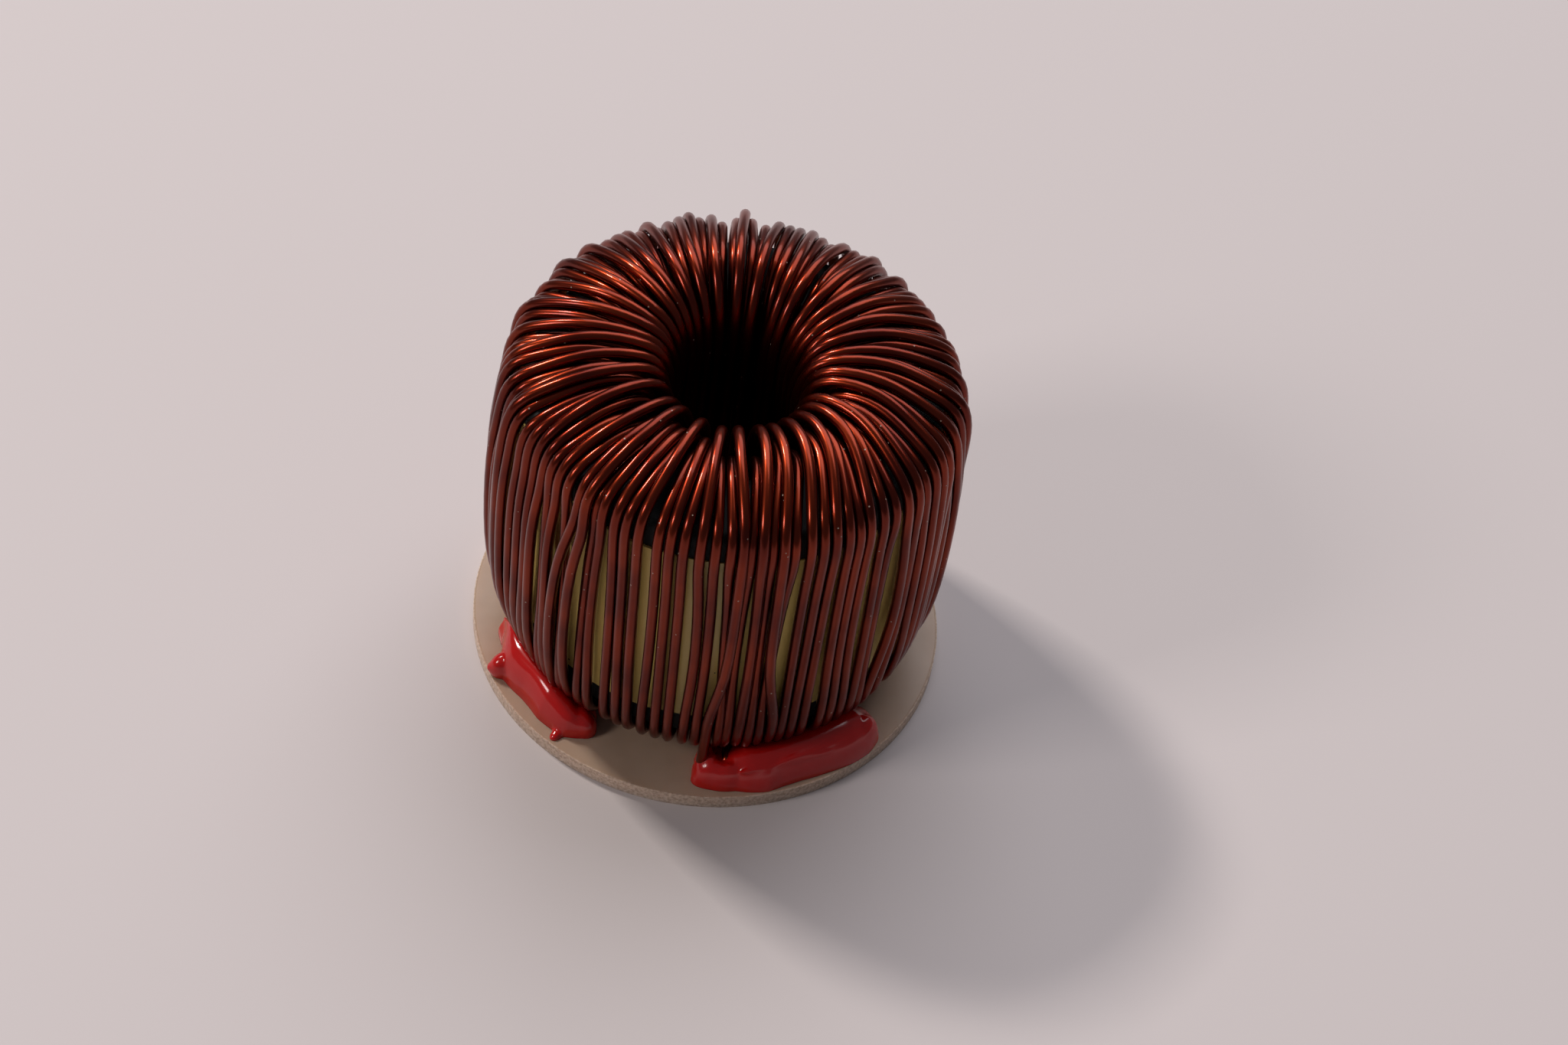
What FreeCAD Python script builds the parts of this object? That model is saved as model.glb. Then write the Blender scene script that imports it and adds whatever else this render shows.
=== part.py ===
import FreeCAD, Part

import math
import os

from FreeCAD import Vector

# Toroidal power choke: about a hundred turns of enamelled copper wire on a stack of two powder cores,
# bonded to a round glass-epoxy base disc with beads of red silicone. The coil's axis is vertical.
# Frame: origin at the centre of the disc's underside, +Z up the coil's axis, -Y towards the two leads.
# Lengths are in millimetres and angles in degrees. An azimuth is counted from -Y towards +X.

# ---- Base disc ----
disc_margin = 2.26             # how far the disc stands out beyond the turns
disc_thickness = 1.6
lead_hole_gap = 0.08           # between a lead and the wall of its hole

# ---- Core stack ----
core_outer_diameter = 39.9
core_inner_diameter = 24.1
core_height = 14.5             # of each of the two rings
core_edge_radius = 1.0
tape_width = 22.6
tape_thickness = 0.13
tape_gap = 0.02                # between the tape and the rings
tape_lap_angle = 34.0          # how far the tape's end laps over its start
tape_lap_azimuth = -42.0       # where the lap begins

# ---- Winding ----
wire_diameter = 1.06           # 1 mm copper and its enamel
turn_gap = 0.1                 # between neighbouring turns, on the circle of the shoulders
crowded_gap = 0.09             # the same where the turns close up beside the leads
layer_count = 3                # in which the turns pile up in the bore
layer_gap = 0.2                # between the layers of wire, in the bore and over the ends
bore_gap = 0.15                # between the rings and the first layer in the bore
leg_gap = 0.45                 # stiff wire bows this far away from the tape's lap
shoulder_slack = 1.2           # how far the turns at the sides and the back stand out over those in front
bore_slack = 0.9               # how far the last layer hangs free, halfway down the bore
pile_height = 4.5              # of the heap of turns over each end of the stack
shoulder_gap = 0.85            # between the stack's end and a turn, where it bends down into its leg
seat_gap = 0.1                 # between the heap and the disc
start_lead_azimuth = 5.5
end_lead_azimuth = 12.2
first_leg_azimuth = 9.0        # of the first turn, where it bends over the top of the stack

# ---- Silicone beads ----
bead_height = 4.4
bead_depth = 2.6               # how far a bead reaches in under the turns, from the middle of their legs
bead_belly = 0.1               # how far its face bulges out over its rim
bead_lip = 0.3                 # between its rim and its crown, at least
bead_gap = 0.28                # between a bead and the wire
# Stations along each bead: azimuth, reach from its root to the disc's rim, and height, both as shares.
left_bead_stations = (
    (-74, 0.22, 0.25), (-69, 0.46, 0.6), (-63, 0.66, 0.9), (-59, 0.93, 0.95), (-55, 0.8, 1.0),
    (-48, 0.72, 1.0), (-40, 0.76, 1.0), (-33, 0.76, 0.95), (-29, 0.5, 0.6), (-26, 0.2, 0.25),
)
front_bead_stations = (
    (1.5, 0.3, 0.3), (3, 0.66, 0.5), (7, 0.76, 0.65), (10, 0.8, 0.8), (15, 0.85, 0.95), (22, 0.93, 1.0),
    (30, 0.9, 1.0), (38, 0.93, 1.0), (46, 0.96, 1.0), (52, 0.95, 0.9), (56, 0.7, 0.7), (59, 0.35, 0.3),
)
rear_bead_stations = (
    (146, 0.25, 0.3), (150, 0.6, 0.8), (157, 0.8, 1.0), (164, 0.85, 1.0), (171, 0.86, 1.0),
    (178, 0.84, 0.95), (184, 0.75, 0.9), (189, 0.5, 0.6), (192, 0.2, 0.25),
)

# ---- Worked out from the sizes above ----
core_outer_radius = core_outer_diameter / 2
core_inner_radius = core_inner_diameter / 2
stack_bottom = disc_thickness + pile_height
stack_middle = stack_bottom + core_height
stack_top = stack_middle + core_height

wire_radius = wire_diameter / 2
leg_radius = core_outer_radius + tape_gap + 2 * tape_thickness + leg_gap + wire_radius
disc_radius = leg_radius + wire_radius + disc_margin
shoulder_radius = core_outer_radius - 0.75 * core_edge_radius
layer_step = wire_diameter + layer_gap
turns_per_layer = int(2 * math.pi * shoulder_radius / (wire_diameter + turn_gap) / layer_count)
turn_count = layer_count * turns_per_layer
turn_angle = 360.0 / turn_count

lead_hole_radius = wire_radius + lead_hole_gap
start_lead_radius = leg_radius
end_lead_radius = leg_radius - wire_radius
bead_root_radius = leg_radius - bead_depth


def place(radius, azimuth, height):
    """The point at this distance from the axis, azimuth and height."""
    angle = math.radians(azimuth)
    return Vector(radius * math.sin(angle), -radius * math.cos(angle), height)


def rod(radius, start, end):
    """A round rod between two points."""
    return Part.makeCylinder(radius, start.distanceToPoint(end), start, end - start)


def base_disc():
    """A sawn disc of glass-epoxy laminate, drilled for the two leads."""
    disc = Part.makeCylinder(disc_radius, disc_thickness)
    for radius, azimuth in ((start_lead_radius, start_lead_azimuth), (end_lead_radius, end_lead_azimuth)):
        foot = place(radius, azimuth, 0)
        disc = disc.cut(rod(lead_hole_radius, foot, foot + Vector(0, 0, disc_thickness)))
    return disc


def core_ring(foot_height):
    """One pressed powder ring with rounded edges under its black coating."""
    foot = Vector(0, 0, foot_height)
    ring = Part.makeCylinder(core_outer_radius, core_height, foot)
    ring = ring.cut(Part.makeCylinder(core_inner_radius, core_height, foot))
    rims = [edge for edge in ring.Edges if len(edge.Vertexes) == 1]
    return ring.makeFillet(core_edge_radius, rims)


def core_tape():
    """Polyester tape that holds the rings together, its end lapped over its start."""
    foot = Vector(0, 0, stack_middle - tape_width / 2)
    up = Vector(0, 0, 1)
    inner = core_outer_radius + tape_gap
    lap = Part.makeCylinder(inner + 2 * tape_thickness, tape_width, foot, up, tape_lap_angle)
    lap.rotate(foot, up, tape_lap_azimuth - 90)
    tape = Part.makeCylinder(inner + tape_thickness, tape_width, foot).fuse(lap)
    return tape.cut(Part.makeCylinder(inner, tape_width, foot))


def end_profile(layer):
    """A turn's way over one end of the stack, from the bore out to its leg.

    Each point is a radius and a height over the stack's end. Each layer lies over the one before.
    """
    bore_radius = core_inner_radius - bore_gap - wire_radius - layer * layer_step
    crest_height = pile_height - seat_gap - wire_radius - (layer_count - 1 - layer) * layer_step
    return [
        (bore_radius, 0.25 * crest_height),
        (bore_radius + 0.8 * wire_radius * (1 + layer), 0.75 * crest_height),
        (core_inner_radius + wire_radius * (layer_count - 1 - layer), crest_height),
        (shoulder_radius, shoulder_gap + wire_radius),
        (leg_radius, -0.8 * core_edge_radius),
    ]


def foot_azimuth(turn):
    """Where a turn's leg stands. The turns beside the two leads crowd together to make room for them."""
    even = first_leg_azimuth - turn * turn_angle
    crowded_angle = math.degrees((wire_diameter + crowded_gap) / shoulder_radius)
    after_start = start_lead_azimuth - turn * crowded_angle
    before_end = end_lead_azimuth - 360 + (turn_count - turn) * crowded_angle
    return max(min(even, after_start), before_end)


def slack(azimuth):
    """How far a turn stands out at its shoulder. The turns in front are drawn tight to the stack."""
    return shoulder_slack * min(1, 1 - math.cos(math.radians(azimuth)))


def end_lead_path():
    """The last turn's way from under the coil, down through the disc."""
    bend_height = disc_thickness + wire_diameter
    return [
        place(end_lead_radius - wire_diameter, end_lead_azimuth, bend_height + 0.8 * wire_diameter),
        place(end_lead_radius, end_lead_azimuth, bend_height),
        place(end_lead_radius, end_lead_azimuth, 0),
    ]


def winding_path():
    """The wire's centre line, from the start lead's cut end to the end lead's."""
    path = [place(start_lead_radius, start_lead_azimuth, 0)]
    for turn in range(turn_count):
        layer = turn % layer_count
        bore_top, inner_bend, crest, shoulder, leg_end = end_profile(layer)
        foot = foot_azimuth(turn)
        top = first_leg_azimuth - turn * turn_angle
        bore = top - turn_angle / 2
        lower_crest = bore + 0.4 * (foot_azimuth(turn + 1) - bore)
        if turn > 0:
            path.append(place(shoulder[0], foot, stack_bottom - shoulder[1]))
        path += [
            place(leg_end[0], foot, stack_bottom - leg_end[1]),
            place(leg_end[0] + slack(top), top, stack_top + leg_end[1]),
            place(shoulder[0] + slack(top), top, stack_top + shoulder[1]),
            place(crest[0], bore, stack_top + crest[1]),
            place(inner_bend[0], bore, stack_top + inner_bend[1]),
            place(bore_top[0], bore, stack_top + bore_top[1]),
        ]
        if layer == layer_count - 1:
            path.append(place(bore_top[0] - bore_slack, bore, stack_middle))
        path += [
            place(bore_top[0], bore, stack_bottom - bore_top[1]),
            place(crest[0], lower_crest, stack_bottom - crest[1]),
        ]
    return path + end_lead_path()


def winding():
    """The whole wire as one hexagonal bar, mitred at every bend, with its corners on the round wire."""
    path = winding_path()
    run = (path[1] - path[0]).normalize()
    across = Vector(0, wire_radius, 0)
    ring = [path[0] + FreeCAD.Rotation(run, 60 * corner).multVec(across) for corner in range(6)]
    faces = [Part.Face(Part.makePolygon(ring + ring[:1]))]
    for index in range(1, len(path)):
        run = (path[index] - path[index - 1]).normalize()
        onward = (path[index + 1] - path[index]).normalize() if index + 1 < len(path) else run
        mitre = run + onward
        moved = [p + run * ((path[index] - p).dot(mitre) / run.dot(mitre)) for p in ring]
        for corner in range(6):
            after = (corner + 1) % 6
            quad = [ring[corner], ring[after], moved[after], moved[corner], ring[corner]]
            faces.append(Part.Face(Part.makePolygon(quad)))
        ring = moved
    faces.append(Part.Face(Part.makePolygon(ring + ring[:1])))
    shell = Part.makeShell(faces)
    shell.sewShape()
    return Part.makeSolid(shell)


def silicone_bead(stations):
    """A bead laid on the disc along the coil's foot, up against the legs and in under their bends."""
    clear = wire_radius + bead_gap
    leg_face = leg_radius + clear
    under_height = pile_height - shoulder_gap - wire_radius - clear
    sections = []
    for azimuth, reach, rise in stations:
        rim = bead_root_radius + reach * (disc_radius - bead_root_radius)
        top = bead_height * rise
        tip = min(leg_face, rim - bead_lip)
        outline = [
            (bead_root_radius, 0),
            (rim, 0),
            (rim + bead_belly, 0.25 * top),
            (tip + 0.65 * (rim - tip), 0.8 * top),
            (tip, top),
            (0.5 * (bead_root_radius + tip), min(under_height, 0.8 * top)),
            (bead_root_radius, min(under_height, 0.6 * top)),
        ]
        points = [place(radius, azimuth, disc_thickness + height) for radius, height in outline]
        sections.append(Part.makePolygon(points + points[:1]))
    return Part.makeLoft(sections, True, True)


def front_bead():
    """The bead that is laid round the two leads, where they go down to the disc."""
    bead = silicone_bead(front_bead_stations)
    hole_radius = wire_radius + bead_gap
    start_foot = place(start_lead_radius, start_lead_azimuth, 0)
    bead = bead.cut(rod(hole_radius, start_foot, start_foot + Vector(0, 0, stack_top)))
    points = winding_path()[-4:]
    for above, below in zip(points, points[1:]):
        bead = bead.cut(rod(hole_radius, above, below))
        bead = bead.cut(Part.makeSphere(hole_radius, below))
    return bead


def write(name, shape):
    """One STEP file for each node."""
    if len(shape.Solids) != 1 or not shape.isValid():
        raise ValueError(f"{name} is not one valid solid")
    shape.Solids[0].exportStep(f"parts/{name}.step")
    print(name, "volume", round(shape.Volume, 1), "faces", len(shape.Faces))


os.makedirs("parts", exist_ok=True)
write("base_disc", base_disc())
write("lower_core", core_ring(stack_bottom))
write("upper_core", core_ring(stack_middle))
write("core_tape", core_tape())
write("winding", winding())
write("left_glue_bead", silicone_bead(left_bead_stations))
write("front_glue_bead", front_bead())
write("rear_glue_bead", silicone_bead(rear_bead_stations))
print("turns", turn_count)
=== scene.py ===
import math

import bmesh
import bpy
import numpy as np
from mathutils import Matrix, Vector


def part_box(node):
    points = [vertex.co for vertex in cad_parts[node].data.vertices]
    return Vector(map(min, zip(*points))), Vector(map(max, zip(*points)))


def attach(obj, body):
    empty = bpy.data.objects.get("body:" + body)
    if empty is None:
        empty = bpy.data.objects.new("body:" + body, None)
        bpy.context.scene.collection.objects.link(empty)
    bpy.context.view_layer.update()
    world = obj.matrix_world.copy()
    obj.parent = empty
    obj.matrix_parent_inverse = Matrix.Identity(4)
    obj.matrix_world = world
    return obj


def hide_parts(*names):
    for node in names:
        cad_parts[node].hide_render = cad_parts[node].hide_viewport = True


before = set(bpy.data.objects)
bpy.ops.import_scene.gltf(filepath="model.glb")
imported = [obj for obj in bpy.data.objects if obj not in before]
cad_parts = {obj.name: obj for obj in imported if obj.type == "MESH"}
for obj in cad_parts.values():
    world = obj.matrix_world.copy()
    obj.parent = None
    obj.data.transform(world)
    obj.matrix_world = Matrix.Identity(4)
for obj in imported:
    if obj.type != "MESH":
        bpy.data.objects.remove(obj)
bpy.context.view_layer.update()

# ---- Camera ----
# The choke is seen from above its two leads, which come down at the front. The camera looks down
# at 48 degrees and is tilted a little to one side.
MM = 0.001
disc_low, disc_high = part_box("base_disc")
disc_top = disc_high.z
disc_radius = (disc_high.x - disc_low.x) / 2

camera_distance = 288
camera_aside, camera_above = 7.97, 8.95
look_down = math.radians(47.79)
tilt = math.radians(8.75)
across = Vector((
    math.cos(tilt),
    math.sin(tilt) * math.sin(look_down),
    math.sin(tilt) * math.cos(look_down),
))
ahead = Vector((0, math.cos(look_down), -math.sin(look_down)))
upward = across.cross(ahead)
aim = Vector((0, 0, disc_top))
spot = aim - ahead * camera_distance * MM + across * camera_aside * MM + upward * camera_above * MM
camera = bpy.data.objects.new("camera", bpy.data.cameras.new("camera"))
bpy.context.scene.collection.objects.link(camera)
camera.data.lens = 63.97
camera.data.sensor_width = 36
camera.data.clip_start = 10 * MM
camera.data.clip_end = 20
camera.matrix_world = Matrix((
    (across.x, upward.x, -ahead.x, spot.x),
    (across.y, upward.y, -ahead.y, spot.y),
    (across.z, upward.z, -ahead.z, spot.z),
    (0, 0, 0, 1),
))
bpy.context.scene.camera = camera
bpy.context.scene.view_settings.view_transform = "Standard"


# ---- Cores ----
# Two pressed powder rings, one on the other, under a matt black coating. They are held together
# by the tape, and show only as black strips above and below it.
def dress(piece, material):
    """Gives a piece its finish."""
    piece.data.materials.clear()
    piece.data.materials.append(material)


def new_material(name, **finish):
    """A material, its shader, and a short way to add nodes and links. Inputs have capital letters."""
    material = bpy.data.materials.new(name)
    material.use_nodes = True
    tree = material.node_tree
    shader = tree.nodes["Principled BSDF"]

    def adjust(made, settings):
        for key, value in settings.items():
            if key[0].isupper():
                made.inputs[key.replace("_", " ")].default_value = value
            else:
                setattr(made, key, value)
        return made

    def node(kind, **settings):
        return adjust(tree.nodes.new("ShaderNode" + kind), settings)

    adjust(shader, finish)
    return material, shader, node, tree.links.new


def add_grain(shader, node, link, scale, detail, strength, depth):
    """Gives a finish a fine uneven skin."""
    place = node("TexCoord")
    grain = node("TexNoise", Scale=scale, Detail=detail)
    bump = node("Bump", Strength=strength, Distance=depth)
    link(place.outputs["Object"], grain.inputs["Vector"])
    link(grain.outputs["Fac"], bump.inputs["Height"])
    link(bump.outputs["Normal"], shader.inputs["Normal"])


coating, shader, node, link = new_material(
    "core_coating", Base_Color=(0.007, 0.007, 0.007, 1), Roughness=0.6, Specular_IOR_Level=0.3,
)
add_grain(shader, node, link, scale=2200.0, detail=3.0, strength=0.3, depth=0.05 * MM)
dress(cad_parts["lower_core"], coating)
dress(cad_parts["upper_core"], coating)


# ---- Core tape ----
# One band of yellow polyester tape, wound round both rings with its end lapped over its start,
# which holds them together. Its face is smooth, with a few dark specks of dirt.
def specks(node, link, place, scale, size):
    """A mask that is 1 where the specks of a finish lie."""
    cells = node("TexVoronoi", Scale=scale)
    inside = node("Math", operation="LESS_THAN")
    inside.inputs[1].default_value = size
    link(place.outputs["Object"], cells.inputs["Vector"])
    link(cells.outputs["Distance"], inside.inputs[0])
    return inside.outputs["Value"]


tape, shader, node, link = new_material("yellow_tape", Roughness=0.35)
place = node("TexCoord")
soiled = node("Mix", data_type="RGBA", A=(1.0, 0.73, 0.22, 1), B=(0.06, 0.04, 0.02, 1))
link(specks(node, link, place, scale=500.0, size=0.05), soiled.inputs["Factor"])
link(soiled.outputs["Result"], shader.inputs["Base Color"])
dress(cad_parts["core_tape"], tape)


# ---- Base disc ----
# A round plate cut from glass cloth laminate. Its faces are smooth and let a little light through, and the
# sawn edge is rough, lighter and speckled with cut fibres, with a painted highlight along the outer rim of
# its top face.
def set_ramp(ramp, *stops):
    """Gives a colour ramp its stops, each a position and a colour."""
    for element, (position, color) in zip(ramp.color_ramp.elements, stops):
        element.position = position
        element.color = (*color, 1)


laminate, shader, node, link = new_material(
    "laminate", Specular_IOR_Level=0.25,
    Subsurface_Weight=0.3, Subsurface_Radius=(1.0, 0.75, 0.5), Subsurface_Scale=2.5 * MM,
)
place = node("TexCoord")
clouds = node("TexNoise", Scale=140.0, Detail=3.0)
face_tone = node("ValToRGB")
set_ramp(face_tone, (0.3, (0.35, 0.24, 0.17)), (0.7, (0.43, 0.305, 0.225)))
fibres = node("TexNoise", Scale=3400.0, Detail=2.0)
# The edge colour is lighter for two reasons: on the sawn side it is the cut fibres' own pale tone, and on
# the top face's outer rim it is a painted highlight.
rim_highlight_and_edge_tone = node("ValToRGB")
set_ramp(rim_highlight_and_edge_tone, (0.35, (0.42, 0.30, 0.23)), (0.65, (0.62, 0.47, 0.375)))

# The edge's finish, which also paints the rim highlight, begins where the distance from the disc's middle
# comes near its radius.
flat = node("VectorMath", operation="MULTIPLY")
flat.inputs[1].default_value = (1, 1, 0)
from_middle = node("VectorMath", operation="LENGTH")
at_edge = node("MapRange", From_Min=disc_radius - 0.2 * MM, From_Max=disc_radius - 0.05 * MM)
tones = node("Mix", data_type="RGBA")
roughness = node("MapRange", To_Min=0.3, To_Max=0.8)
depth_of_cut = node("Math", operation="MULTIPLY")
bump = node("Bump", Strength=0.5, Distance=0.2 * MM)
for source, target in (
    (place.outputs["Object"], flat.inputs[0]),
    (flat.outputs["Vector"], from_middle.inputs[0]),
    (from_middle.outputs["Value"], at_edge.inputs["Value"]),
    (place.outputs["Object"], clouds.inputs["Vector"]),
    (place.outputs["Object"], fibres.inputs["Vector"]),
    (clouds.outputs["Fac"], face_tone.inputs["Fac"]),
    (fibres.outputs["Fac"], rim_highlight_and_edge_tone.inputs["Fac"]),
    (at_edge.outputs["Result"], tones.inputs["Factor"]),
    (face_tone.outputs["Color"], tones.inputs["A"]),
    (rim_highlight_and_edge_tone.outputs["Color"], tones.inputs["B"]),
    (tones.outputs["Result"], shader.inputs["Base Color"]),
    (at_edge.outputs["Result"], roughness.inputs["Value"]),
    (roughness.outputs["Result"], shader.inputs["Roughness"]),
    (at_edge.outputs["Result"], depth_of_cut.inputs[0]),
    (fibres.outputs["Fac"], depth_of_cut.inputs[1]),
    (depth_of_cut.outputs["Value"], bump.inputs["Height"]),
    (bump.outputs["Normal"], shader.inputs["Normal"]),
):
    link(source, target)
dress(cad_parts["base_disc"], laminate)

# ---- Winding ----
# A hundred and twelve turns of 1 mm enamelled copper wire, wound by hand through the bore, so no two
# lie alike. They stand side by side round the outside and pile up three deep in the bore. The wire's
# two ends come down at the front and go through the disc.

# Lengths are in millimetres here, and azimuths in degrees, from 0 in front and growing to the right.
wire_diameter = 1.06
turn_count = 112
leg_radius, end_lead_radius = 21.2, 20.68
start_lead, end_lead = 5.5, 12.2
stack_low, stack_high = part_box("lower_core")[0].z / MM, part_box("upper_core")[1].z / MM
core_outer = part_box("lower_core")[1].x / MM
core_inner = min(math.hypot(v.co.x, v.co.y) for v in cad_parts["lower_core"].data.vertices) / MM
chance = np.random.default_rng(7)

# The turns at the front, from left to right, up to the first lead and on from the second: the azimuth
# of each leg at its top, middle and foot, how far it stands out over its neighbours, and its layer in
# the bore, from 0 on the rings to 2 on top.
left_turns = (
    (-55.6, -54.8, -56.8, 0.0, 1), (-53.2, -51.5, -53.6, 0.0, 2), (-49.0, -48.6, -49.4, 0.3, 1),
    (-46.5, -44.6, -45.2, -0.4, 0), (-43.2, -42.3, -43.0, 0.1, 2), (-39.5, -37.6, -37.0, -0.4, 0),
    (-35.2, -39.3, -39.6, 0.8, 1), (-30.6, -34.8, -36.2, 0.9, 2), (-30.5, -31.8, -31.2, -0.4, 0),
    (-27.6, -29.0, -28.0, 0.0, 1), (-23.6, -22.6, -22.4, 0.0, 1), (-20.6, -19.8, -19.0, 0.0, 1),
    (-17.0, -16.5, -15.8, 0.0, 2), (-11.8, -11.2, -11.6, 0.0, 0), (-8.8, -8.1, -7.8, 0.0, 1),
    (-5.4, -4.6, -4.5, 0.0, 1), (-1.3, 0.8, -0.2, 0.0, 2), (2.5, 3.7, 3.3, 0.0, 0),
    (6.1, 7.8, 8.8, -0.3, 0), (9.2, 9.0, 5.5, 0.6, 2),
)
right_turns = (
    (12.1, 11.4, 12.5, -0.3, 0), (14.0, 14.7, 14.4, 0.2, 2), (16.2, 16.9, 17.0, -0.4, 1),
    (18.7, 18.6, 22.8, 0.5, 2), (21.8, 20.0, 19.6, -0.4, 0), (26.2, 25.7, 25.6, 0.0, 2),
    (29.6, 28.9, 28.2, 0.0, 1), (32.9, 32.0, 31.6, 0.0, 2), (36.7, 36.4, 37.0, 0.0, 1),
    (39.7, 39.2, 40.3, 0.0, 0), (42.8, 42.2, 43.6, 0.0, 2), (47.2, 47.6, 47.1, 0.0, 1),
    (51.3, 51.0, 50.2, -0.4, 0), (55.5, 57.2, 52.6, 0.4, 2), (59.8, 61.5, 57.5, 0.0, 1),
)

# The turns at the sides and at the back follow by chance, a little looser on the right than on the left.
back_count = turn_count - len(left_turns) - len(right_turns)
back_steps = np.linspace(1.0, 1.08, back_count + 1) + chance.uniform(-0.1, 0.1, back_count + 1)
first_back, last_back = left_turns[0][0], right_turns[-1][0] - 360
back_tops = first_back + np.cumsum(back_steps) / back_steps.sum() * (last_back - first_back)
back_layers = (0, 1, 2, 1, 0, 2)
back_turns = []
for n, top in enumerate(back_tops[:-1]):
    middle = top + chance.normal(0, 0.7)
    foot = top + chance.normal(0, 0.8)
    proud = chance.uniform(-0.3, 0.4)
    back_turns.append((top, middle, foot, proud, back_layers[n % len(back_layers)]))
last_turns = [
    (top - 360, middle - 360, foot - 360, proud, layer)
    for top, middle, foot, proud, layer in reversed(right_turns)
]
turns = np.array([*reversed(left_turns), *back_turns, *last_turns])
top, middle, foot, proud, layer = turns.T
bearing = (top + 180) % 360 - 180


def by_layer(deep, between, upper):
    """One value for each turn, from the value of its layer."""
    return np.choose(layer.astype(int), (deep, between, upper))


# Where the turns lean on their way over the top: azimuths at the shoulder and in the bore, evened out
# over a few turns. In the bore the turns also stray, and those on top stray most.
leans = (
    (-180, -179), (-150, -143), (-120, -116), (-60, -62), (-44, -43), (-32, -28), (-17, -14), (-1, -2),
    (9, 6), (14, 20), (19, 28), (30, 42), (42, 55), (60, 70), (100, 104), (150, 146), (180, 181),
)
at_shoulder, at_bore = zip(*leans)
evening = (0.08, 0.14, 0.18, 0.20, 0.18, 0.14, 0.08)
leaning = np.pad(
    top + np.interp(bearing, at_shoulder, at_bore) - bearing,
    len(evening) // 2, mode="reflect", reflect_type="odd",
)
bore = np.convolve(leaning, evening, mode="valid")
bore += chance.normal(0, 1, turn_count) * by_layer(0.3, 0.8, 1.8)
crest = 0.5 * top + 0.5 * bore
lower_crest = bore + 0.4 * (np.append(foot[1:], bore[-1]) - bore)

# How far the legs and the shoulders bow out at each bearing. The turns away from the front are looser,
# and a few at the back stand up over the others.
bows = (
    (-180, 1.0, 0.5), (-150, 0.8, 0.4), (-120, 1.0, 0.5), (-90, 0.6, 0.4), (-75, 1.2, 0.7), (-62, 1.5, 0.9),
    (-53, 0.8, -0.3), (-40, 0.5, -0.8), (-28, 0.0, 0.0), (53, 0.0, 0.0), (65, 0.6, 0.5), (85, 0.9, 0.7),
    (110, 0.7, 0.5), (130, 0.8, 0.4), (150, 1.2, 0.5), (180, 1.0, 0.5),
)
bow_at, bow_of_legs, bow_of_shoulders = zip(*bows)
leg_bow = np.interp(bearing, bow_at, bow_of_legs)
shoulder_bow = np.interp(bearing, bow_at, bow_of_shoulders)
front_half_angle, back_from = 60, 150
standing_count, standing_height = 5, 0.9
loose = np.abs(bearing) > front_half_angle
leg_bow += loose * chance.uniform(-0.1, 0.4, turn_count)
shoulder_bow += loose * chance.uniform(-0.2, 0.2, turn_count)
at_back = np.flatnonzero(np.abs(bearing) > back_from)
shoulder_bow[chance.choice(at_back, standing_count, replace=False)] += standing_height
shoulder_bow *= by_layer(0.5, 0.8, 1.1)
lift = chance.uniform(-0.2, 0.25, turn_count) + 0.3 * shoulder_bow

# The turns on each side of one that stands out close in under it.
beside = (np.roll(shoulder_bow, 1) + np.roll(shoulder_bow, -1)) / 2
stands_out = np.clip(shoulder_bow - beside, 0, 0.8) * loose
closer = (np.roll(top, 1) - top) * np.roll(stands_out, 1)
closer += (np.roll(top, -1) - top) * np.roll(stands_out, -1)
top += 0.5 * np.clip(closer, -3, 3) * loose

# The bore closes in more at the sides than in front, and opens like a funnel at the back.
closing = np.interp(np.abs(bearing), (0, 50, 90, 130, 180), (0.0, -1.0, -2.2, -1.8, -0.6))
funnel = np.interp(np.abs(bearing), (80, 180), (0.0, 2.0))

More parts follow.
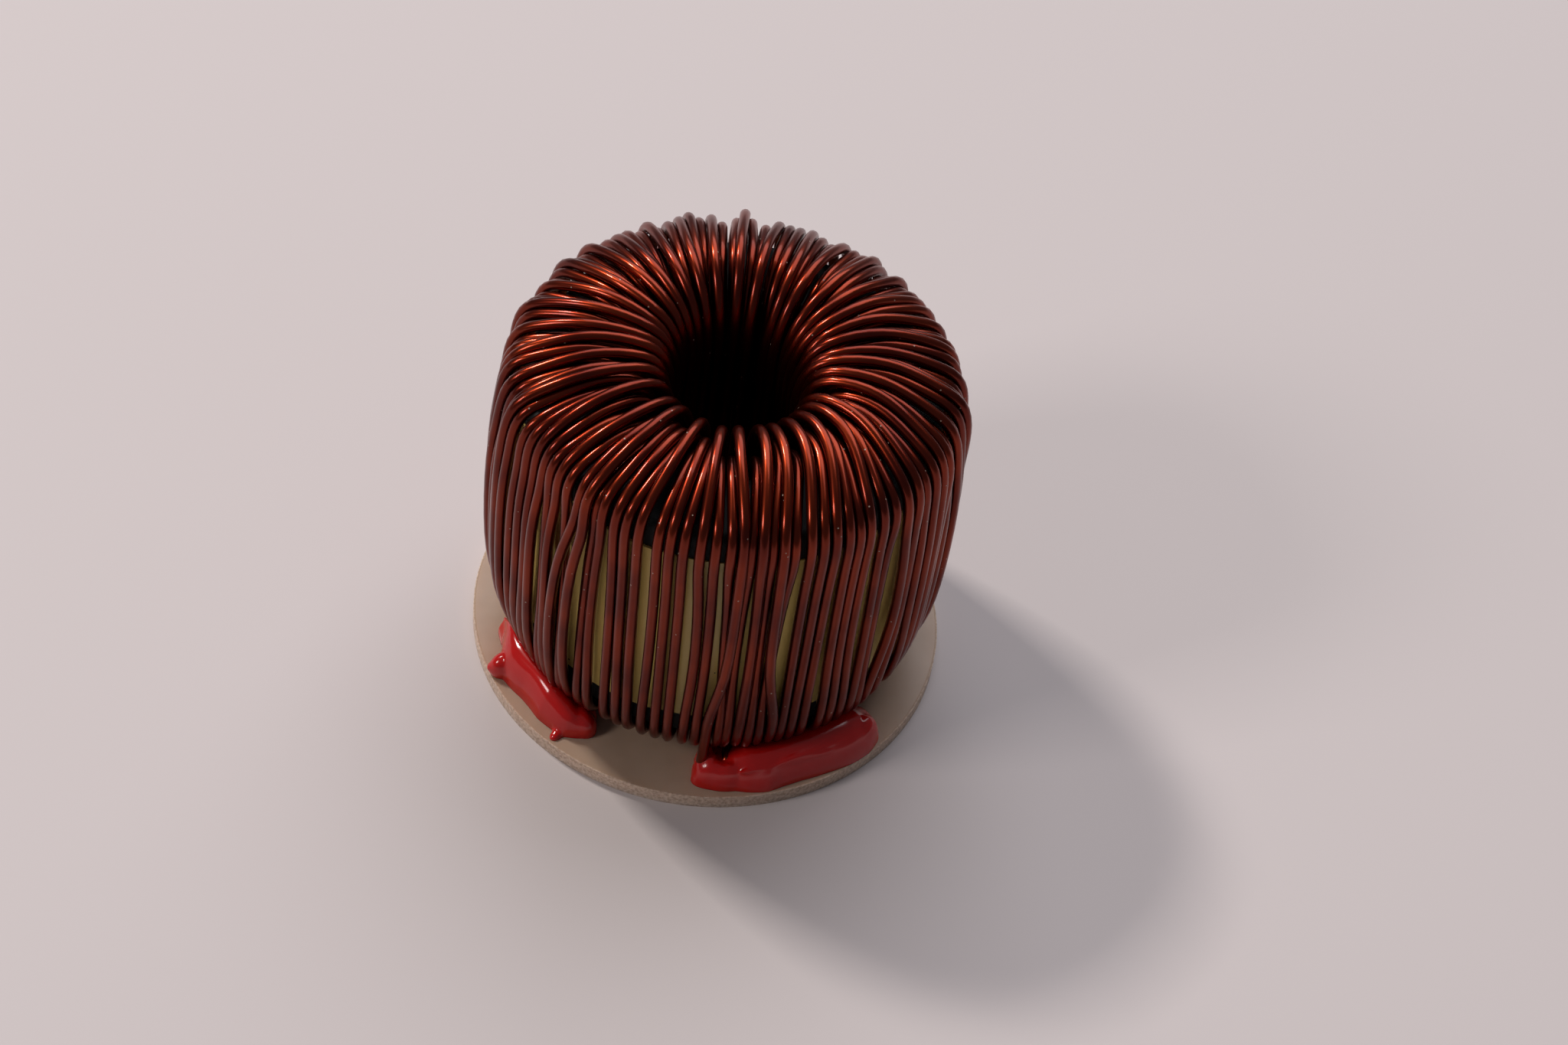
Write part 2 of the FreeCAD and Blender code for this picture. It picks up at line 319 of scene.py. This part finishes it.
# Stations along a turn, each a radius, an azimuth and a height.
out = leg_radius + leg_bow + proud
shoulder = leg_radius + shoulder_bow - loose * by_layer(0.2, 0, 0)
depth = chance.uniform(-0.3, 0.3, turn_count)
mouth = by_layer(11.2, 9.5, 8.1)
lining = by_layer(10.9, 9.2, 7.8) + 0.6 * closing + depth
stations = [
    # out from under the rings and up the outside
    (17.4, 0.3 * np.roll(lower_crest, 1) + 0.7 * foot, stack_low - 1.2),
    (19.9, foot, stack_low - 1.0),
    (leg_radius - 0.15 - 0.3 * np.minimum(leg_bow, 1), foot, stack_low + 0.9),
    (out - 0.5 * proud - 0.3 * leg_bow, foot, stack_low + 5),
    (out, middle, (stack_low + stack_high) / 2 - 3),
    (out, 0.6 * middle + 0.4 * top, stack_high - 8),
    (shoulder + 0.5 * proud + 0.3 * leg_bow, top, stack_high - 4),
    # round the shoulder and over the top
    (shoulder + 0.2, top, stack_high - 0.8),
    (shoulder - 0.6, top, stack_high + by_layer(1.3, 1.5, 1.6) + 0.4 * shoulder_bow),
    (18.4 + 0.6 * shoulder_bow, 0.8 * top + 0.2 * bore, stack_high + by_layer(2.1, 2.5, 2.8) + lift),
    (15.8 + 0.2 * shoulder_bow, crest, stack_high + by_layer(2.9, 3.4, 3.9) + lift),
    (by_layer(13.7, 13.3, 12.8), 0.3 * crest + 0.7 * bore, stack_high + by_layer(3.0, 3.7, 4.5) + lift),
    # down through the bore
    (by_layer(11.8, 11.1, 10.4) + closing, bore, stack_high + by_layer(2.0, 3.0, 4.0) + lift - 0.6 * funnel),
    (by_layer(11.4, 10.1, 8.7) + closing, bore, stack_high - by_layer(0.6, -0.8, -2.3) - 1.1 * funnel),
    (mouth + closing + depth, bore, stack_high - by_layer(4.0, 2.2, 1.2) - funnel),
    (lining, bore, stack_high - by_layer(9.0, 8.0, 7.0)),
    (lining, bore, stack_low + by_layer(9.0, 8.0, 7.0)),
    (mouth + depth, bore, stack_low + by_layer(4.0, 2.5, 1.2)),
    # and back out under the rings
    (by_layer(11.6, 10.1, 8.7), bore, stack_low + by_layer(1.0, -0.6, -1.6)),
    (by_layer(12.5, 11.3, 10.3), bore, stack_low - by_layer(1.0, 2.4, 3.4)),
    (by_layer(14.0, 13.4, 12.8), 0.3 * lower_crest + 0.7 * bore, stack_low - by_layer(2.0, 3.2, 3.9)),
    (16.0, lower_crest, stack_low - by_layer(1.8, 2.7, 3.6)),
]


def place_at(radius, azimuth, height):
    """Points from their radius, azimuth and height."""
    angle = np.radians(azimuth)
    return np.stack(np.broadcast_arrays(radius * np.sin(angle), -radius * np.cos(angle), height), axis=-1)


# The wire starts as the first lead, straight up through the disc, and ends as the second one, which
# bends out from under the coil and goes down through the disc.
corners = np.stack([place_at(*station) for station in stations], axis=1)
corners[0, :2] = place_at(leg_radius, start_lead, (0, 3))
tail_radii = np.array((20.0, 21.5, 21.0) + (end_lead_radius,) * 4)
tail = place_at(tail_radii, end_lead, (3.9, 4.0, 2.6, 1.2, 0, 0, 0))
route = np.vstack((corners[0, :1], corners[0, :1], corners.reshape(-1, 3), tail))

# A smooth curve through the stations, a few points to each span.
span_points = 3
share = np.arange(span_points)[:, None] / span_points
weights = (
    (1 - share) ** 3,
    3 * share**3 - 6 * share**2 + 4,
    -3 * share**3 + 3 * share**2 + 3 * share + 1,
    share**3,
)
path = sum(weight[None] * route[k:len(route) - 3 + k, None] for k, weight in enumerate(weights))
path = path.reshape(-1, 3) / 6
path[0] = corners[0, 0]

# The turns push each other, the rings and the disc away until none lies inside another, and stay
# smooth. The two leads stay where they are.
wire_gap, ring_gap, disc_gap = 0.02, 0.05, 0.1
tape_room = 0.4
ring_round = 1
settling_steps = 150
turns_reached, points_reached = 5, 2
most_shove, shove_share = 0.4, 0.3
most_press = 0.5
smoothing, kept_share = 0.25, 0.997

turn_points = len(stations) * span_points
start_lead_points, end_lead_points = 4, 4 * span_points
core_middle = (core_inner + core_outer + tape_room) / 2
core_half = (core_outer + tape_room - core_inner) / 2
stack_middle, stack_half = (stack_low + stack_high) / 2, (stack_high - stack_low) / 2
free = np.ones((len(path), 1))
free[:start_lead_points] = 0
free[-end_lead_points:] = 0
moved = np.zeros_like(path)
for _ in range(settling_steps):
    settled = path + moved
    push = np.zeros_like(path)
    for turns_ahead in range(1, turns_reached + 1):
        for shift in range(-points_reached, points_reached + 1):
            offset = turns_ahead * turn_points + shift
            start, end = np.roll(settled, -offset, axis=0), np.roll(settled, -offset - 1, axis=0)
            run = end - start
            along = ((settled - start) * run).sum(1) / (run * run).sum(1).clip(1e-9)
            along = np.clip(along, 0, 1)[:, None]
            gap = settled - start - along * run
            distance = np.sqrt((gap * gap).sum(1))[:, None].clip(1e-6)
            overlap = np.clip(wire_diameter + wire_gap - distance, 0, most_shove)
            shove = gap / distance * overlap * shove_share
            push += shove
            push -= (
                np.roll(shove * (1 - along), offset, axis=0)
                + np.roll(shove * along, offset + 1, axis=0)
            )
    radius = np.hypot(settled[:, 0], settled[:, 1])
    inward = radius - core_middle
    rise = settled[:, 2] - stack_middle
    side = np.maximum(np.abs(inward) - core_half + ring_round, 0)
    top_side = np.maximum(np.abs(rise) - stack_half + ring_round, 0)
    reach = np.hypot(side, top_side).clip(1e-6)
    press = np.clip(ring_round + wire_diameter / 2 + ring_gap - reach, 0, most_press)
    push[:, :2] += (press * side / reach * np.sign(inward) / radius)[:, None] * settled[:, :2]
    push[:, 2] += press * top_side / reach * np.sign(rise)
    push[:, 2] += np.clip(disc_top / MM + wire_diameter / 2 + disc_gap - settled[:, 2], 0, None)
    moved = (moved + push) * free
    moved[1:-1] += smoothing * (moved[:-2] + moved[2:] - 2 * moved[1:-1]) * free[1:-1]
    moved *= kept_share
path += moved

# The wire itself, round all along the curve and closed at its two cut ends. Its radius is set at its
# points.
wire = bpy.data.curves.new("copper_winding", "CURVE")
wire.dimensions = "3D"
wire.bevel_depth = 1
wire.bevel_resolution = 4
wire.use_fill_caps = True
line = wire.splines.new("POLY")
line.points.add(len(path) - 1)
line.points.foreach_set("co", np.column_stack((path * MM, np.ones(len(path)))).ravel())
line.points.foreach_set("radius", np.full(len(path), wire_diameter / 2 * MM))
winding = bpy.data.objects.new("copper_winding", wire)
bpy.context.scene.collection.objects.link(winding)
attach(winding, "root")
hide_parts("winding")

# Clear red-brown enamel over the copper, darker in patches, with pale dust that dulls its shine.
enamel, shader, node, link = new_material(
    "wire_enamel", Roughness=0.29, Coat_Weight=0.2, Coat_Roughness=0.07,
)
place = node("TexCoord")
patches = node("TexNoise", Scale=160.0, Detail=2.0)
tone = node("ValToRGB")
set_ramp(tone, (0.35, (0.108, 0.011, 0.005)), (0.65, (0.205, 0.024, 0.007)))
dust = specks(node, link, place, scale=700.0, size=0.055)
dusted = node("Mix", data_type="RGBA", B=(0.33, 0.25, 0.20, 1))
bare = node("Math", operation="SUBTRACT")
bare.inputs[0].default_value = 1
link(place.outputs["Object"], patches.inputs["Vector"])
link(patches.outputs["Fac"], tone.inputs["Fac"])
link(dust, dusted.inputs["Factor"])
link(tone.outputs["Color"], dusted.inputs["A"])
link(dusted.outputs["Result"], shader.inputs["Base Color"])
link(dust, bare.inputs[1])
link(bare.outputs["Value"], shader.inputs["Metallic"])
dress(winding, enamel)

# ---- Silicone beads ----
# Three beads of red silicone laid by hand on the disc along the coil's foot. They cured with a glossy
# skin, full and rounded, with the ridges of the nozzle and a few pulled tips.
silicone, shader, node, link = new_material(
    "red_silicone", Base_Color=(0.42, 0.005, 0.004, 1), Roughness=0.16,
    Subsurface_Weight=0.25, Subsurface_Radius=(1.0, 0.15, 0.1), Subsurface_Scale=1.0 * MM,
)
add_grain(shader, node, link, scale=260.0, detail=1.0, strength=0.15, depth=0.2 * MM)


def bead(name, replaced, blobs):
    """Blobs of silicone, each an azimuth, a radius, a height and three half sizes, run into one bead."""
    shape = bmesh.new()
    for azimuth, radius, height, along, across, tall in blobs:
        middle = Vector(place_at(radius, azimuth, height)) * MM
        middle.z += disc_top
        size = Matrix.Diagonal((along * MM, across * MM, tall * MM, 1))
        turn = Matrix.Translation(middle) @ Matrix.Rotation(math.radians(azimuth), 4, "Z") @ size
        bmesh.ops.create_icosphere(shape, subdivisions=4, radius=1, matrix=turn)
    mesh = bpy.data.meshes.new(name)
    shape.to_mesh(mesh)
    shape.free()
    made = bpy.data.objects.new(name, mesh)
    bpy.context.scene.collection.objects.link(made)
    melt = made.modifiers.new("melt", "REMESH")
    melt.mode = "VOXEL"
    melt.voxel_size = 0.16 * MM
    relax = made.modifiers.new("relax", "SMOOTH")
    relax.factor = 0.5
    relax.iterations = 16
    bpy.context.view_layer.update()
    melted = bpy.data.meshes.new_from_object(made.evaluated_get(bpy.context.evaluated_depsgraph_get()))
    made.modifiers.clear()

    # What lies below the disc's face is cut off, and the cut is closed.
    shape = bmesh.new()
    shape.from_mesh(melted)
    cut = bmesh.ops.bisect_plane(
        shape, geom=shape.verts[:] + shape.edges[:] + shape.faces[:],
        plane_co=(0, 0, disc_top), plane_no=(0, 0, -1), clear_outer=True,
    )
    rim = [part for part in cut["geom_cut"] if isinstance(part, bmesh.types.BMEdge)]
    bmesh.ops.triangle_fill(shape, edges=rim, use_beauty=True)
    bmesh.ops.recalc_face_normals(shape, faces=shape.faces[:])
    for face in shape.faces:
        face.smooth = True
    shape.to_mesh(mesh)
    shape.free()
    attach(made, "root")
    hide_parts(replaced)
    dress(made, silicone)


def bead_body(stations):
    """The body of a bead round the legs' feet, from the azimuth, outer edge and height of its stations."""
    azimuths, edges, heights = zip(*stations)
    outer_radius, inner_radius = 21.0, 19.9
    azimuth_step, blob_length, inner_width = 1.2, 1.5, 1.9
    blobs = []
    for azimuth in np.arange(azimuths[0], azimuths[-1], azimuth_step):
        edge = np.interp(azimuth, azimuths, edges)
        height = np.interp(azimuth, azimuths, heights)
        inner_height = min(2.8, 0.8 * height)
        blobs.append((azimuth, outer_radius, 0, blob_length, edge - outer_radius, height))
        blobs.append((azimuth, inner_radius, 0, blob_length, inner_width, inner_height))
    return blobs


bead("front_silicone", "front_glue_bead", [
    *bead_body((
        (8.0, 22.1, 2.6), (10, 22.8, 2.4), (12.5, 23.1, 2.5), (15, 23.3, 3.3),
        (18, 23.6, 3.8), (22, 23.8, 3.8), (26, 23.5, 3.8), (31, 23.4, 3.9),
        (38, 23.6, 4.0), (46, 24.0, 4.1), (50, 24.0, 3.7), (54, 23.6, 2.6),
    )),
    (7.0, 20.3, 0, 1.0, 1.6, 3.2), (7.8, 21.2, 0, 1.4, 1.4, 3.2), (6.2, 21.3, 0.4, 1.1, 1.1, 2.5),
    (9.5, 21.9, 0, 2.4, 1.2, 2.9), (12.5, 22.1, 0, 2.6, 1.2, 2.9),
    (27, 22.5, 2.6, 5.0, 0.4, 0.5), (36, 22.3, 3.0, 4.5, 0.45, 0.5),
    (51.5, 22.2, 0.8, 1.8, 1.5, 2.6), (53.5, 20.6, 0, 1.8, 1.5, 2.5),
])
bead("left_silicone", "left_glue_bead", [
    *bead_body((
        (-70, 20.9, 2.2), (-66, 21.4, 3.3), (-63, 21.9, 3.8), (-60, 22.5, 4.1),
        (-56, 23.1, 4.2), (-52, 22.9, 4.2), (-48, 22.6, 4.2), (-44, 22.6, 4.2),
        (-40, 22.8, 4.0), (-36, 22.7, 3.5), (-33, 22.6, 3.0), (-31, 22.0, 2.3),
    )),
    (-57.6, 22.5, 0.8, 1.2, 1.6, 1.7), (-58.3, 23.6, 0.8, 0.6, 0.7, 0.6), (-33.2, 22.9, 0, 0.6, 0.8, 0.6),
    (-31, 20.4, 0.4, 2.0, 1.4, 2.2),
])
bead("rear_silicone", "rear_glue_bead", [
    *bead_body((
        (151, 22.5, 2.6), (155, 23.2, 3.6), (159, 23.4, 3.9), (163, 23.4, 4.0), (167, 23.3, 3.9),
        (171, 23.4, 3.8), (175, 23.4, 3.9), (179, 23.3, 3.8), (183, 23.1, 3.5), (187, 22.4, 2.6),
    )),
    (161, 22.4, 2.8, 3.0, 0.4, 0.5), (174, 22.4, 2.8, 3.4, 0.4, 0.5),
])

# ---- Floor ----
# A plain pale table top with a matt face, which the choke stands on. It isn't part of the choke.
table_mesh = bpy.data.meshes.new("floor")
shape = bmesh.new()
bmesh.ops.create_grid(shape, x_segments=1, y_segments=1, size=3)
shape.to_mesh(table_mesh)
shape.free()
floor = bpy.data.objects.new("floor", table_mesh)
bpy.context.scene.collection.objects.link(floor)
table_paint, *_ = new_material("floor", Base_Color=(0.53, 0.474, 0.469, 1), Roughness=0.85)
dress(floor, table_paint)


# ---- Lamps ----
# A warm lamp behind the choke on its left gives the shadow. A wide cool one above and behind it fills
# the top, a small one on the left lights the front, and the room adds a little light from all sides.
def lamp(name, towards, distance, size, power, color):
    """A square lamp that faces the choke."""
    light = bpy.data.lights.new(name, "AREA")
    light.size = size
    light.energy = power
    light.color = color
    made = bpy.data.objects.new(name, light)
    bpy.context.scene.collection.objects.link(made)
    direction = Vector(towards).normalized()
    made.matrix_world = direction.to_track_quat("Z", "Y").to_matrix().to_4x4()
    made.location = direction * distance


lamp("key_lamp", (-0.58, 0.40, 0.71), distance=2.0, size=0.26, power=23.5, color=(1.0, 0.95, 0.9))
lamp("ceiling_lamp", (0.1, 0.8, 1.0), distance=1.6, size=1.5, power=19.0, color=(0.94, 0.95, 1.0))
lamp("front_lamp", (-0.8, -0.4, 0.6), distance=1.2, size=0.3, power=4.6, color=(1.0, 0.95, 0.92))
room = bpy.data.worlds.new("world")
room.use_nodes = True
room_light = room.node_tree.nodes["Background"]
room_light.inputs["Color"].default_value = (0.9, 0.92, 1.0, 1)
room_light.inputs["Strength"].default_value = 0.13
bpy.context.scene.world = room
